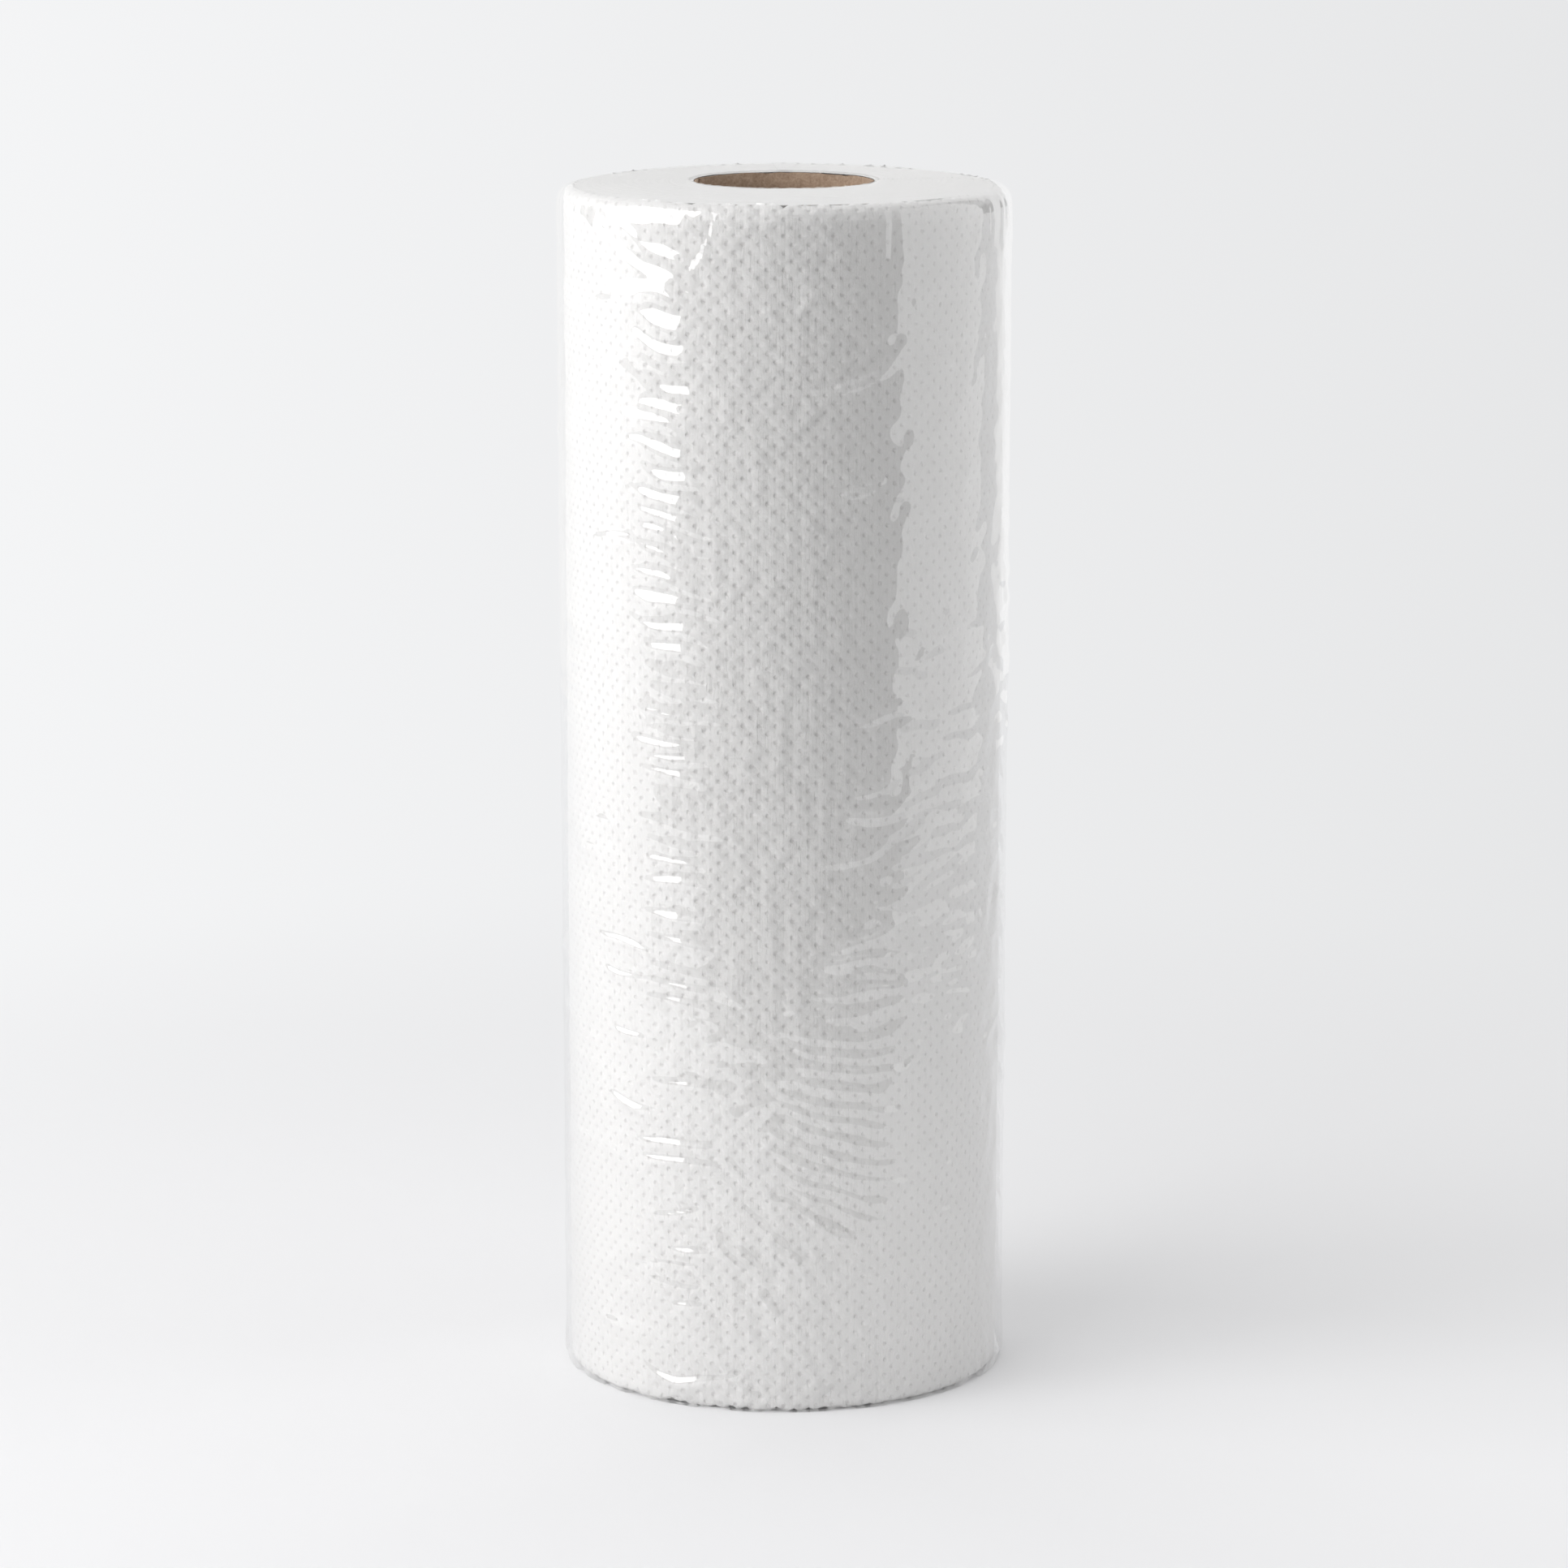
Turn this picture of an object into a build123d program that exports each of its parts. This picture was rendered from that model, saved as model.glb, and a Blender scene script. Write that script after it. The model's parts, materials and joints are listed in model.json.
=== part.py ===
from build123d import *

import os

# Paper towel roll in clear shrink film, standing on its end
# Three physical pieces: the cardboard core, the wound towel paper and the film round them
# Millimetres, +Z up along the roll's axis, origin where that axis meets the surface it stands on

# Roll: the paper is wound on the core and is as long as it
roll_length = 279.0
roll_diameter = 102.6
towel_thickness = 0.5      # one embossed two-ply sheet, the height of the step at the loose tail
tail_angle = 10.0          # where the tail of the last turn ends, in degrees round +Z from +X
rim_rounding = 2.5         # the film's pull presses the paper's two rims round

# Core: a tube that the first turn is glued to
core_bore_diameter = 40.0
core_wall = 0.8

# Film: a shrunk sleeve, tight on the two end faces and slack round the side
film_wall = 0.1
film_slack = 0.6           # radial air between the paper and the film
film_shoulder = 2.0        # its inner rounding, tighter than the paper's, so it bridges each rim
film_opening_margin = 3.2  # paper left bare round the core's mouth, inside the film's round opening

# Sizes that follow
core_bore_radius = core_bore_diameter / 2
core_radius = core_bore_radius + core_wall
roll_radius = roll_diameter / 2
film_inner_radius = roll_radius + film_slack
film_outer_radius = film_inner_radius + film_wall
film_opening_radius = core_radius + film_opening_margin
roll_bottom = film_wall
roll_top = roll_bottom + roll_length
film_top = roll_top + film_wall


def outline_point(turn):
    """A point of the last turn's outside, from its tail edge (0) once round to the sheet below it (1)."""
    radius = roll_radius - towel_thickness * turn
    return Vector(radius, 0).rotate(Axis.Z, tail_angle + 360 * turn)


# Cardboard core: a plain tube, flush with the paper at both ends
with BuildPart() as cardboard_core:
    with BuildSketch(Plane.XY.offset(roll_bottom)):
        Circle(core_radius)
        Circle(core_bore_radius, mode=Mode.SUBTRACT)
    extrude(amount=roll_length)

# Towel roll: all turns as one solid, whose outside is one turn of the spiral with its tail step
with BuildPart() as towel_roll:
    with BuildSketch(Plane.XY.offset(roll_bottom)):
        with BuildLine():
            for quarter in range(4):
                ThreePointArc(
                    outline_point(quarter / 4),
                    outline_point(quarter / 4 + 1 / 8),
                    outline_point(quarter / 4 + 1 / 4),
                )
            Line(outline_point(1), outline_point(0))
        make_face()
        Circle(core_radius, mode=Mode.SUBTRACT)
    extrude(amount=roll_length)
    # What lies outside the rounded rims is taken off
    with BuildSketch(Plane.XZ):
        with BuildLine():
            rims = FilletPolyline(
                (0, roll_bottom),
                (roll_radius, roll_bottom),
                (roll_radius, roll_top),
                (0, roll_top),
                radius=rim_rounding,
            )
            Line(rims @ 0, rims @ 1)
        make_face()
    revolve(axis=Axis.Z, mode=Mode.INTERSECT)

# Film wrap: a thin sleeve turned over both rims, lying on the end faces up to its two openings
with BuildPart() as film_wrap:
    with BuildSketch(Plane.XZ):
        with BuildLine():
            outside = FilletPolyline(
                (film_opening_radius, 0),
                (film_outer_radius, 0),
                (film_outer_radius, film_top),
                (film_opening_radius, film_top),
                radius=film_shoulder + film_wall,
            )
            Line(outside @ 0, outside @ 1)
        make_face()
        with BuildLine():
            inside = FilletPolyline(
                (film_opening_radius, roll_bottom),
                (film_inner_radius, roll_bottom),
                (film_inner_radius, roll_top),
                (film_opening_radius, roll_top),
                radius=film_shoulder,
            )
            Line(inside @ 0, inside @ 1)
        make_face(mode=Mode.SUBTRACT)
    revolve(axis=Axis.Z)

os.makedirs("parts", exist_ok=True)

cardboard_core.part.label = "cardboard_core"
export_step(cardboard_core.part, "parts/cardboard_core.step")
towel_roll.part.label = "towel_roll"
export_step(towel_roll.part, "parts/towel_roll.step")
film_wrap.part.label = "film_wrap"
export_step(film_wrap.part, "parts/film_wrap.step")
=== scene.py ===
# %% [markdown]
# # A packed roll of paper towel
# The roll stands on its end: an embossed two-ply sheet wound on a brown cardboard core, shrunk
# into clear film. The CAD frame holds the three pieces at their real size. This lesson gives each
# its looks: the embossing as real dimples, the wound edges as real ridges, and the film as one
# wrinkled skin that mirrors the studio round it.

# %% Load the frame
import json
import math

import bpy
import numpy as np
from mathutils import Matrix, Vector


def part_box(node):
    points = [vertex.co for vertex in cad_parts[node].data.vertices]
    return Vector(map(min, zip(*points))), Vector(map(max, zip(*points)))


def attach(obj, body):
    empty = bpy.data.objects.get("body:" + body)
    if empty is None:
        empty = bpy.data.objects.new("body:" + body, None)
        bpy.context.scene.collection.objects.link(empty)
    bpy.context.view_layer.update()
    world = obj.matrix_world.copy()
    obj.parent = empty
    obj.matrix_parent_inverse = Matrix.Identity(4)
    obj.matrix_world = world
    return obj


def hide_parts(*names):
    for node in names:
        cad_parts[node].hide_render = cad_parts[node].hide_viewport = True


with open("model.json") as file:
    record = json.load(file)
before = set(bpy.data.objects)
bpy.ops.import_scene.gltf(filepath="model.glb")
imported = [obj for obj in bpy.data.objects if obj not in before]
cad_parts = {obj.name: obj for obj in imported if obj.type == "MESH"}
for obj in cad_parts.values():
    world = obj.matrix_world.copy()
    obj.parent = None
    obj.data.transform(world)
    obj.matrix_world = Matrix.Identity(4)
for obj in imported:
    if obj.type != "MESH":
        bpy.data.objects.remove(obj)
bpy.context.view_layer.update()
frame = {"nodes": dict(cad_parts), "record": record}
MM = 0.001

# %% [markdown]
# ## Sizes from the frame
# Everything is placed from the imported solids, so nothing has to be fitted afterwards. The widest
# vertex of a round solid gives its radius, and its box gives its two ends.

# %% Read the sizes


def widest_radius(node):
    """How far the node's outermost vertex lies from the roll's axis."""
    return max(math.hypot(v.co.x, v.co.y) for v in frame["nodes"][node].data.vertices)


roll_bottom, roll_top = (corner.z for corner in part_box("towel_roll"))
film_bottom, film_top = (corner.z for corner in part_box("film_wrap"))
paper_radius = widest_radius("towel_roll")
core_radius = widest_radius("cardboard_core")
film_radius = widest_radius("film_wrap")
core_mount = next(m for m in frame["record"]["mounts"] if m["name"] == "core_bore")
bore_radius = core_mount["dims"]["r_mm"] * MM
print(f"paper radius {paper_radius / MM:.2f} mm, film radius {film_radius / MM:.2f} mm")
print(f"roll from {roll_bottom / MM:.1f} to {roll_top / MM:.1f} mm, bore radius {bore_radius / MM:.1f} mm")

# %% [markdown]
# ## Formulas made of nodes
# Both Geometry Nodes and materials here follow rules, and a rule reads best as a formula. `Wire`
# wraps a socket so that `a * b + 1` adds the Math nodes for it. It keeps the trees ordinary: each
# operation is one node that can be opened and changed in Blender.

# %% A helper for node trees


def add_node(tree, kind, inputs=None, **settings):
    """Adds a node, sets its properties, and fills its inputs with values, sockets or wires."""
    node = tree.nodes.new(kind)
    for name, value in settings.items():
        setattr(node, name, value)
    for key, value in (inputs or {}).items():
        plug(tree, node.inputs[key], value)
    return node


def plug(tree, socket, value):
    """Links a wire or a socket to an input, or sets the input's own value."""
    if isinstance(value, Wire):
        value = value.socket
    if isinstance(value, bpy.types.NodeSocket):
        tree.links.new(value, socket)
    else:
        socket.default_value = value


class Wire:
    """A number that flows through a node tree and can be used in formulas."""

    def __init__(self, tree, socket):
        self.tree, self.socket = tree, socket

    def do(self, operation, *others):
        values = dict(enumerate((self, *others)))
        node = add_node(self.tree, "ShaderNodeMath", values, operation=operation)
        return Wire(self.tree, node.outputs[0])

    def __add__(self, other):
        return self.do("ADD", other)

    def __sub__(self, other):
        return self.do("SUBTRACT", other)

    def __mul__(self, other):
        return self.do("MULTIPLY", other)

    def __truediv__(self, other):
        return self.do("DIVIDE", other)

    __radd__, __rmul__ = __add__, __mul__

    def clamp(self, low, high):
        return self.do("MAXIMUM", low).do("MINIMUM", high)

    def ramp(self, low, high):
        """0 below low and 1 above high, with a smooth step between."""
        sides = {"Value": self, "From Min": low, "From Max": high}
        node = add_node(self.tree, "ShaderNodeMapRange", sides, interpolation_type="SMOOTHSTEP")
        return Wire(self.tree, node.outputs[0])


def split(tree, vector):
    """A vector's three numbers as wires."""
    node = add_node(tree, "ShaderNodeSeparateXYZ", {0: vector})
    return [Wire(tree, s) for s in node.outputs]


def join(tree, x, y, z):
    return add_node(tree, "ShaderNodeCombineXYZ", {0: x, 1: y, 2: z}).outputs[0]


def noise(tree, vector, scale, detail=2.0, roughness=0.5):
    """Smooth noise from 0 to 1, scale in features per metre."""
    sides = {"Vector": vector, "Scale": scale, "Detail": detail, "Roughness": roughness}
    return Wire(tree, add_node(tree, "ShaderNodeTexNoise", sides).outputs[0])


# %% [markdown]
# ## Geometry Nodes as a tool
# A tree gets named inputs, and a throwaway object carries it on a modifier. The result is read
# from the evaluated object as a plain mesh and the modifier is dropped, so what stays is an
# ordinary piece at the origin.

# %% A helper for Geometry Nodes


def print_size(piece):
    """Prints how many vertices and triangles a piece has."""
    mesh = piece.data
    triangles = sum(len(face.vertices) - 2 for face in mesh.polygons)
    print(f"{piece.name}: {len(mesh.vertices)} vertices, {triangles} triangles")


def new_geometry_tree(name, inputs):
    """An empty tree with a Geometry output and named inputs. Gives the tree and its inputs as wires."""
    tree = bpy.data.node_groups.new(name, "GeometryNodeTree")
    tree.interface.new_socket("Geometry", in_out="OUTPUT", socket_type="NodeSocketGeometry")
    for title, kind in inputs.items():
        tree.interface.new_socket(title, in_out="INPUT", socket_type="NodeSocket" + kind)
    entry = tree.nodes.new("NodeGroupInput")
    return tree, {title: Wire(tree, entry.outputs[title]) for title in inputs}


def close_geometry_tree(tree, geometry, material):
    """Ends a tree in Realize Instances and Set Material."""
    real = add_node(tree, "GeometryNodeRealizeInstances", {0: geometry})
    finish = {"Geometry": real.outputs[0], "Material": material}
    painted = add_node(tree, "GeometryNodeSetMaterial", finish)
    exit_node = tree.nodes.new("NodeGroupOutput")
    tree.links.new(painted.outputs[0], exit_node.inputs[0])


def weld(tree, geometry, distance):
    """Merges vertices that lie closer than distance."""
    return add_node(tree, "GeometryNodeMergeByDistance", {0: geometry, "Distance": distance}).outputs[0]


def store_uv(tree, geometry, across, up):
    """Stores two wires as the piece's UV map, as they are at this place in the tree."""
    sides = {"Geometry": geometry, "Name": "UVMap", "Value": join(tree, across, up, 0.0)}
    node = add_node(tree, "GeometryNodeStoreNamedAttribute", sides, data_type="FLOAT2", domain="CORNER")
    return node.outputs[0]


def grow(name, tree, values):
    """Runs a tree on an empty mesh, with its inputs set by identifier, and keeps the plain result."""
    piece = bpy.data.objects.new(name, bpy.data.meshes.new(name))
    bpy.context.scene.collection.objects.link(piece)
    modifier = piece.modifiers.new(tree.name, "NODES")
    modifier.node_group = tree
    for item in tree.interface.items_tree:
        if item.in_out == "INPUT" and item.name in values:
            modifier[item.identifier] = values[item.name]
    bpy.context.view_layer.update()
    evaluated = piece.evaluated_get(bpy.context.evaluated_depsgraph_get())
    made = bpy.data.meshes.new_from_object(evaluated)
    piece.modifiers.clear()
    piece.data = made
    made.name = name
    made.shade_smooth()
    print_size(piece)
    return piece


# %% [markdown]
# ## Towel paper
# Two-ply towel is soft, matt and nearly white. Three scales show: dimples where the plies were
# pressed together, fine crepe lines that run along the roll, and loose fibres. The dimples are in
# the mesh, and the shader sharpens them and adds the two finer scales as bump. The shader also
# paints shade into the dimples' centres as a darker colour. Colours that are the same all over
# stay on the shader's own sockets.

# %% Materials for the paper
dot_spacing = 3.75 * MM
dot_pitch = dot_spacing / 2
dot_radius = 0.5 * MM
# The second paper colour is painted shade: it darkens the dimples' centres, where shade falls in the pits
paper_colour, pit_shade_colour = (0.90, 0.893, 0.885), (0.84, 0.83, 0.822)
# The second edge colour is painted shade for the grooves between the wound turns
cut_edge_colour, groove_shade_colour = (0.92, 0.914, 0.905), (0.80, 0.792, 0.78)


def new_material(name):
    material = bpy.data.materials.new(name)
    material.use_nodes = True
    material.node_tree.nodes.clear()
    return material, material.node_tree


def finish_material(tree, shader):
    add_node(tree, "ShaderNodeOutputMaterial", {"Surface": shader.outputs[0]})


def matt_material(tree, colour, roughness, specular, normal):
    """Ends a tree in a matt shader with a patterned colour and a bumped normal."""
    sides = {"Base Color": colour, "Roughness": roughness, "Specular IOR Level": specular, "Normal": normal}
    finish_material(tree, add_node(tree, "ShaderNodeBsdfPrincipled", sides))


def mix_colours(tree, share, first, second):
    """A pattern between two colours: the first where share is 0, the second where it is 1."""
    sides = {"Factor": share.clamp(0.0, 1.0)}
    mixed = add_node(tree, "ShaderNodeMix", sides, data_type="RGBA")
    mixed.inputs["A"].default_value = (*first, 1)
    mixed.inputs["B"].default_value = (*second, 1)
    return mixed.outputs["Result"]


def bump(tree, height, distance, below=None):
    """Turns a height from 0 to 1 into a normal, on top of the one below."""
    sides = {"Height": height, "Distance": distance, "Strength": 1.0}
    if below is not None:
        sides["Normal"] = below
    return add_node(tree, "ShaderNodeBump", sides).outputs[0]


def towel_paper_material():
    """Embossed two-ply tissue on the sheet's own coordinates, in metres along and up the sheet."""
    material, tree = new_material("towel_paper")
    place = tree.nodes.new("ShaderNodeUVMap").outputs[0]
    along, up, _ = split(tree, place)
    wander = noise(tree, place, 700, 1.0)
    # The dots' lattice stands on its corner: along both diagonals they are a whole number apart
    first = (along + up + wander * (0.35 * MM)) / dot_spacing
    second = (along - up + wander * (0.35 * MM)) / dot_spacing
    across = ((first + 0.5).do("FRACT") - 0.5).do("POWER", 2.0)
    down = ((second + 0.5).do("FRACT") - 0.5).do("POWER", 2.0)
    reach = (across + down).do("SQRT") * (dot_spacing / math.sqrt(2))
    pit = reach.ramp(0.1 * MM, 0.6 * MM)
    crepe = noise(tree, join(tree, along * 1700, up * 140, 0.0), 1.0, 2.0, 0.6)
    fibre = noise(tree, join(tree, along * 1300, up * 900, 3.0), 1.0, 2.0, 0.75)
    bent = bump(tree, crepe, 0.22 * MM)
    bent = bump(tree, fibre, 0.16 * MM, bent)
    bent = bump(tree, pit, 0.15 * MM, bent)
    tint = noise(tree, place, 60, 3.0)
    # Painted shade: the dimples' centres take the darker pit colour
    colour = mix_colours(tree, tint * 0.2 + pit * 0.85, pit_shade_colour, paper_colour)
    matt_material(tree, colour, 0.95, 0.15, bent)
    return material


def wound_edge_material():
    """The cut edges of the turns: matt fibres drawn out along each turn, with shade painted darker into the
    grooves between turns.
    """
    material, tree = new_material("wound_edge")
    place = tree.nodes.new("ShaderNodeUVMap").outputs[0]
    turn, round_it, _ = split(tree, place)
    streak = noise(tree, join(tree, turn * 3.0, round_it * 9.0, 0.0), 1.0, 3.0, 0.7)
    fluff = noise(tree, join(tree, turn * 2.0, round_it * 240.0, 5.0), 1.0, 3.0, 0.7)
    bent = bump(tree, streak, 0.12 * MM)
    bent = bump(tree, fluff, 0.12 * MM, bent)
    # Painted shade: the grooves between turns take the darker colour
    shade_between_turns = (turn.do("FRACT") - 0.5).do("ABSOLUTE").ramp(0.34, 0.5)
    colour = mix_colours(tree, shade_between_turns * 0.7 + streak * 0.3, cut_edge_colour, groove_shade_colour)
    matt_material(tree, colour, 0.95, 0.1, bent)
    return material


towel_paper = towel_paper_material()
wound_edge = wound_edge_material()
print("materials:", towel_paper.name, wound_edge.name)

# %% [markdown]
# ## One tile of embossing
# The dots stand in a quincunx, so the sheet divides into diamonds with a dot in the middle of
# each. One diamond has a dimple and the puffed paper round it, in 24 triangles. Its corners are
# the highest, because they lie furthest from any dot.

# %% Draw the tile
dimple_depth = 0.3 * MM
puff_height = 0.26 * MM
saddle_height = 0.04 * MM
dimple_rim = -0.05 * MM


def embossing_tile():
    """The diamond tile as a hidden mesh object, flat in X and Y, its relief in Z."""
    corners = [(0.0, 0.0, -dimple_depth)]
    for eighth in range(8):
        turn = eighth * math.tau / 8
        corners.append((dot_radius * math.cos(turn), dot_radius * math.sin(turn), dimple_rim))
    for eighth in range(8):
        turn = eighth * math.tau / 8
        at_corner = eighth % 2 == 0
        reach = dot_pitch if at_corner else dot_pitch / math.sqrt(2)
        height = puff_height if at_corner else saddle_height
        corners.append((reach * math.cos(turn), reach * math.sin(turn), height))
    faces = []
    for eighth in range(8):
        after = (eighth + 1) % 8
        faces.append((0, 1 + eighth, 1 + after))
        faces.append((1 + eighth, 9 + eighth, 9 + after, 1 + after))
    mesh = bpy.data.meshes.new("embossing_tile")
    mesh.from_pydata(corners, [], faces)
    return bpy.data.objects.new("embossing_tile", mesh)


tile = embossing_tile()
bpy.context.scene.collection.objects.link(tile)
print_size(tile)

# %% [markdown]
# ## The outer turn
# What shows of the winding is its last turn: a first sheet that starts at the loose tail, the
# sheet behind it, and the start of a third below the tail. They part at perforations. Geometry
# Nodes lay the tile on a lattice, weld it, trim it to the sheet, let noise swell and slacken it,
# and bend it round the roll. The turn is a spiral, so it ends one sheet's thickness below its
# own start, which makes the step at the tail.

# %% The sheet's tree
towel_thickness = 0.5 * MM
tail_angle = math.radians(10)
rim_rounding = 2.5 * MM
low_rounding = 1.2 * MM
rim_drop = 1.1 * MM
quarter_rim, quarter_low = rim_rounding * math.pi / 2, low_rounding * math.pi / 2
straight_height = roll_top - rim_drop - roll_bottom - rim_rounding - low_rounding
sheet_height = straight_height + quarter_rim + quarter_low
sheet_rows = 2 * math.ceil(sheet_height / dot_spacing)
turn_radius = paper_radius - puff_height - towel_thickness / 2
slack_angle = math.radians(-100)
# The winding lies this far inside the solid's surface, and a sheet's own edges dip a little more
skin_depth = 0.3 * MM
edge_width, edge_dip = 1.2 * MM, 0.12 * MM
# Upright tucks fade in and out between these heights, and slanting folds end below the last two
tucks_from, tucks_to = (70 * MM, 95 * MM), (150 * MM, 185 * MM)
folds_to = (48 * MM, 62 * MM)
deepest_sink, highest_swell = 0.6 * MM, 0.4 * MM


def sheet_tree():
    """Lattice, weld, trim, relief and bend, as one tree."""
    tree, given = new_geometry_tree(
        "embossed_sheet",
        {
            "Tile": "Object",
            "Start": "Float",
            "Length": "Float",
            "Tail Wall": "Float",
            "Swell": "Float",
            "Seed": "Float",
            "Material": "Material",
        },
    )
    # A lattice of points, every second row shifted by half a spacing
    columns = (given["Length"] / dot_spacing).do("ROUND") + 3
    lattice = add_node(
        tree,
        "GeometryNodeMeshGrid",
        {
            "Size X": (columns - 1) * dot_spacing,
            "Size Y": (sheet_rows + 3) * dot_pitch,
            "Vertices X": columns,
            "Vertices Y": sheet_rows + 4,
        },
    )
    index = Wire(tree, tree.nodes.new("GeometryNodeInputIndex").outputs[0])
    row = index.do("FLOORED_MODULO", sheet_rows + 4)
    shift = row.do("FLOORED_MODULO", 2.0) * dot_pitch + (columns - 3) * (dot_spacing / 2)
    offset = join(tree, shift, (sheet_rows - 1) * dot_pitch / 2, 0.0)
    lifted = add_node(tree, "GeometryNodeSetPosition", {"Geometry": lattice.outputs[0], "Offset": offset})
    source = add_node(tree, "GeometryNodeObjectInfo", {"Object": given["Tile"]})
    laid = add_node(
        tree,
        "GeometryNodeInstanceOnPoints",
        {"Points": lifted.outputs[0], "Instance": source.outputs["Geometry"]},
    )
    real = add_node(tree, "GeometryNodeRealizeInstances", {0: laid.outputs[0]})
    welded = weld(tree, real.outputs[0], 0.03 * MM)

    # Trim to the sheet. At the tail one half spacing is left over for the wall under its edge
    place = tree.nodes.new("GeometryNodeInputPosition").outputs[0]
    along, up, height = split(tree, place)
    left_out = (along + dot_pitch * given["Tail Wall"]).do("LESS_THAN", 0.0)
    right_out = along.do("GREATER_THAN", given["Length"])
    over = up.do("GREATER_THAN", sheet_height)
    under = up.do("LESS_THAN", 0.0)
    outside = (left_out + right_out + over + under).do("GREATER_THAN", 0.5)
    trimmed = add_node(
        tree,
        "GeometryNodeDeleteGeometry",
        {"Geometry": welded, "Selection": outside},
        domain="FACE",
    )

    # The sheet's own coordinates go with it, for the shader
    flat = store_uv(tree, trimmed.outputs[0], along + given["Start"], up)

    # Relief: dimples of uneven depth, slow swells and quilting. The slack is greatest on two
    # opposite sides: upright tucks in mid height, slanting folds near the bottom
    seat = join(tree, along + given["Start"], up, given["Seed"])
    uneven = noise(tree, seat, 160, 2.0) * 1.4 + 0.25
    slow = noise(tree, seat, 50, 2.0) - 0.5
    quilt = noise(tree, seat, 310, 1.5, 0.6) - 0.5
    edge = along.do("MINIMUM", given["Length"] - along).ramp(0.0, edge_width) - 1
    from_slack = (along + given["Start"]) / turn_radius + (tail_angle - slack_angle)
    loose = (from_slack * 2.0).do("COSINE").ramp(0.1, 0.95)
    depth = uneven * (loose * 0.7 + 0.8)
    tuck = noise(tree, join(tree, along * 330, up * 42, given["Seed"]), 1.0, 2.0) - 0.5
    tucked = up.ramp(*tucks_from) * (up.ramp(*tucks_to) * -1 + 1)
    across_fold, down_fold = along * 0.9 + up * 0.43, up * 0.9 - along * 0.43
    fold = noise(tree, join(tree, across_fold * 250, down_fold * 34, given["Seed"]), 1.0, 2.0) - 0.5
    folded = up.ramp(*folds_to) * -1 + 1
    slack = quilt * (loose * 2.4 + 0.6) + tuck * (loose * tucked * 2.4) + fold * (loose * folded * 2.8)
    swell = ((slow * 0.8 + slack) * given["Swell"]).clamp(-deepest_sink, highest_swell)
    relief = height * depth + swell + edge * edge_dip

    # Bend round the roll, and round both rims
    wall = along.do("LESS_THAN", -0.01 * MM)
    run = along.clamp(0.0, 1.0) + given["Start"]
    turned = run / turn_radius
    radius = turned * (-towel_thickness / math.tau) + (paper_radius - puff_height - skin_depth)
    sunk = relief * (wall * -1 + 1) + wall * (-0.9 * towel_thickness)
    upper = ((up - (sheet_height - quarter_rim)) / rim_rounding).clamp(0.0, math.pi / 2)
    lower = ((up * -1 + quarter_low) / low_rounding).clamp(0.0, math.pi / 2)
    upright = upper.do("COSINE") * lower.do("COSINE")
    lean = upper.do("SINE") - lower.do("SINE")
    rounding = up.do("GREATER_THAN", sheet_height / 2) * (rim_rounding - low_rounding) + low_rounding
    out = radius - rounding + (sunk + rounding) * upright
    straight = up.clamp(quarter_low, sheet_height - quarter_rim)
    level = straight - quarter_low + (roll_bottom + low_rounding) + (sunk + rounding) * lean
    angle = turned + tail_angle
    bent = add_node(
        tree,
        "GeometryNodeSetPosition",
        {
            "Geometry": flat,
            "Position": join(tree, out * angle.do("COSINE"), out * angle.do("SINE"), level),
        },
    )
    close_geometry_tree(tree, bent.outputs[0], given["Material"])
    return tree


outer_turn = sheet_tree()
print(f"{outer_turn.name}: {len(outer_turn.nodes)} nodes")

# %% Wind the outer turn
sheet_length = 80 * dot_pitch
turn_length = math.tau * turn_radius
last_length = math.ceil((turn_length - 2 * sheet_length) / dot_spacing) * dot_spacing
sheets = []
for name, start, length, wall in (
    ("outer_sheet_at_the_tail", 0.0, sheet_length, 1.0),
    ("outer_sheet_behind_it", sheet_length, sheet_length, 0.0),
    ("outer_sheet_under_the_tail", 2 * sheet_length, last_length, 0.0),
):
    sheet = grow(
        name,
        outer_turn,
        {
            "Tile": tile,
            "Start": start,
            "Length": length,
            "Tail Wall": wall,
            "Swell": 1.0 * MM,
            "Seed": 0.0,
            "Material": towel_paper,
        },
    )
    sheets.append(sheet)
bpy.data.objects.remove(tile)

# %% [markdown]
# ## The wound ends
# At each end the sheet's edge shows as one long spiral, turn beside turn. The grid's rows follow
# that spiral, two rows to a turn, so each turn has a crown and a groove, and a noise lets whole
# turns stand a little high or low, as they do on a wound roll.

# %% The wound end's tree
turns_seen = math.ceil((paper_radius - low_rounding - core_radius) / towel_thickness) + 1
end_columns = 385
end_unevenness = 0.5 * MM
crown_height = 0.12 * MM
top_sink, bottom_rise = 0.25 * MM, 0.3 * MM


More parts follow.
